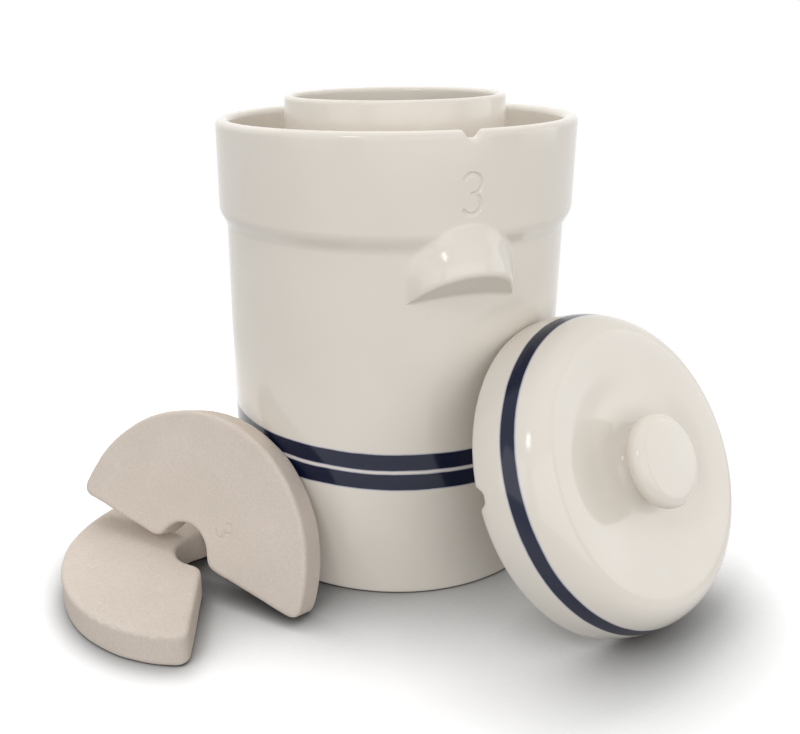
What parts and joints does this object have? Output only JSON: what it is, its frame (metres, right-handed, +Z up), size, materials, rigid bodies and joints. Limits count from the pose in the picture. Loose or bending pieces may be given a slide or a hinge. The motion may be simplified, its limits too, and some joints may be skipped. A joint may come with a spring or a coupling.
{
  "type": "water seal pickle jar",
  "caption": "Glazed stoneware pickling crock with a water channel round its neck, finger lugs, a domed lid and half-moon weights that hold vegetables under the brine.",
  "frame": {"origin": "centre of the crock's flat base, where it stands on the floor", "axes": "+Z up along the crock's axis; the front, with the numeral, the rim notch and one lug, faces -Y; the lid leans at the front right and the weights lie at the left"},
  "size_m": [0.476, 0.4043, 0.35],
  "materials": {
    "cream_glaze": "gloss",
    "lid_glaze": "gloss",
    "cobalt_stripe": "gloss",
    "bisque": "matte"
  },
  "bodies": {
    "jar": {"crock_body": "cream_glaze", "lower_stripe": "cobalt_stripe", "upper_stripe": "cobalt_stripe", "shoulder": "cream_glaze", "collar": "cream_glaze", "neck": "cream_glaze", "front_lug": "cream_glaze", "back_lug": "cream_glaze"},
    "lid": {"lid_shell": "lid_glaze", "lid_stripe": "cobalt_stripe", "lid_knob": "lid_glaze"},
    "weight_lower": {"weight_lower": "bisque"},
    "weight_upper": {"weight_upper": "bisque"}
  },
  "joints": [
    {"name": "lid_lift", "type": "slide", "parent": "jar", "child": "lid", "axis": [0.3317, -0.8129, 0.4787], "range_m": [0, 0.2]},
    {"name": "weight_pair_lift", "type": "slide", "parent": "jar", "child": "weight_lower", "axis": [-0.6762, -0.2067, 0.7071], "range_m": [0, 0.25]},
    {"name": "weight_upper_lift", "type": "slide", "parent": "weight_lower", "child": "weight_upper", "axis": [-0.2514, -0.2319, 0.9397], "range_m": [0, 0.2]}
  ]
}
